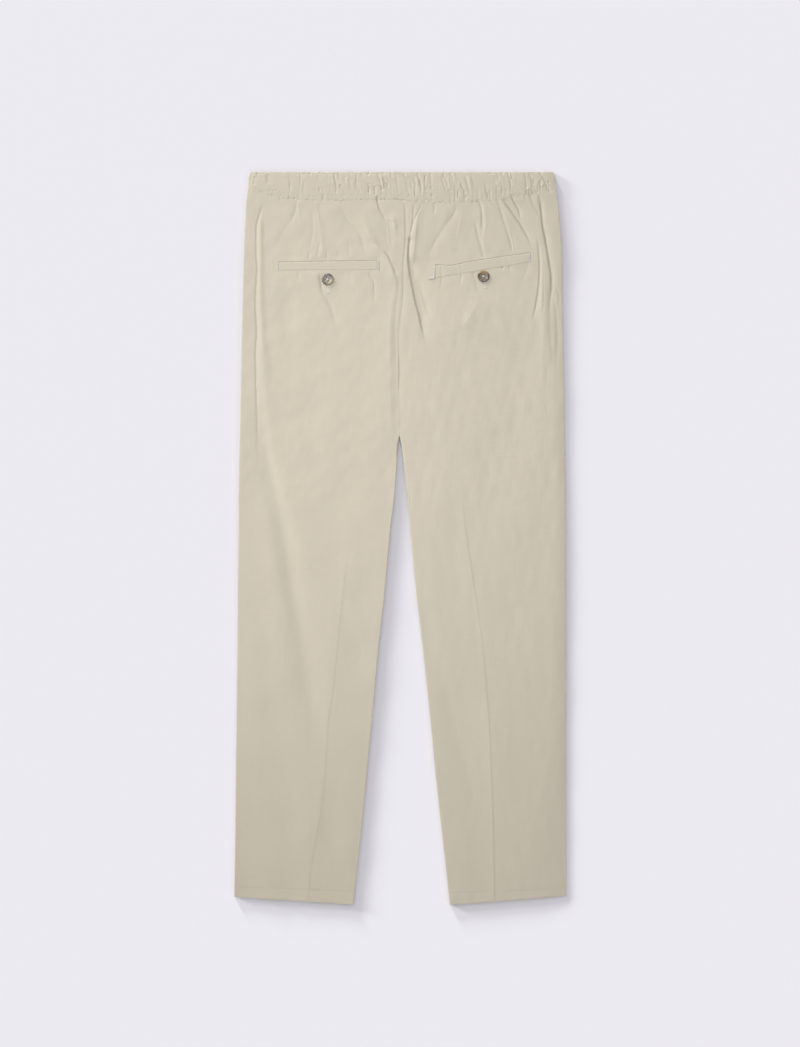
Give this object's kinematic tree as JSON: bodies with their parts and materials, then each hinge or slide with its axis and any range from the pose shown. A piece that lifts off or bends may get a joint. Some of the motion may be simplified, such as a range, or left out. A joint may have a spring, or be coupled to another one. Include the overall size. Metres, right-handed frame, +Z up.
{
  "type": "linen drawstring trousers",
  "caption": "Linen trousers laid flat, back up: gathered elastic waistband, single-welt back pockets with horn buttons, pressed leg creases and narrow hems.",
  "frame": {"origin": "on the surface the garment lies on, under the middle of its outline", "axes": "+Y along the legs towards the waistband, +Z up out of the back of the garment, +X across it to the wearer's right leg"},
  "size_m": [0.4524, 0.9999, 0.0073],
  "materials": {
    "linen": "matte",
    "horn": "satin"
  },
  "bodies": {
    "root": {"back_left": "linen", "back_right": "linen", "front_left": "linen", "front_right": "linen", "waistband_back": "linen", "waistband_front": "linen", "welt_left": "linen", "welt_right": "linen", "button_left": "horn", "button_right": "horn"}
  },
  "joints": []
}
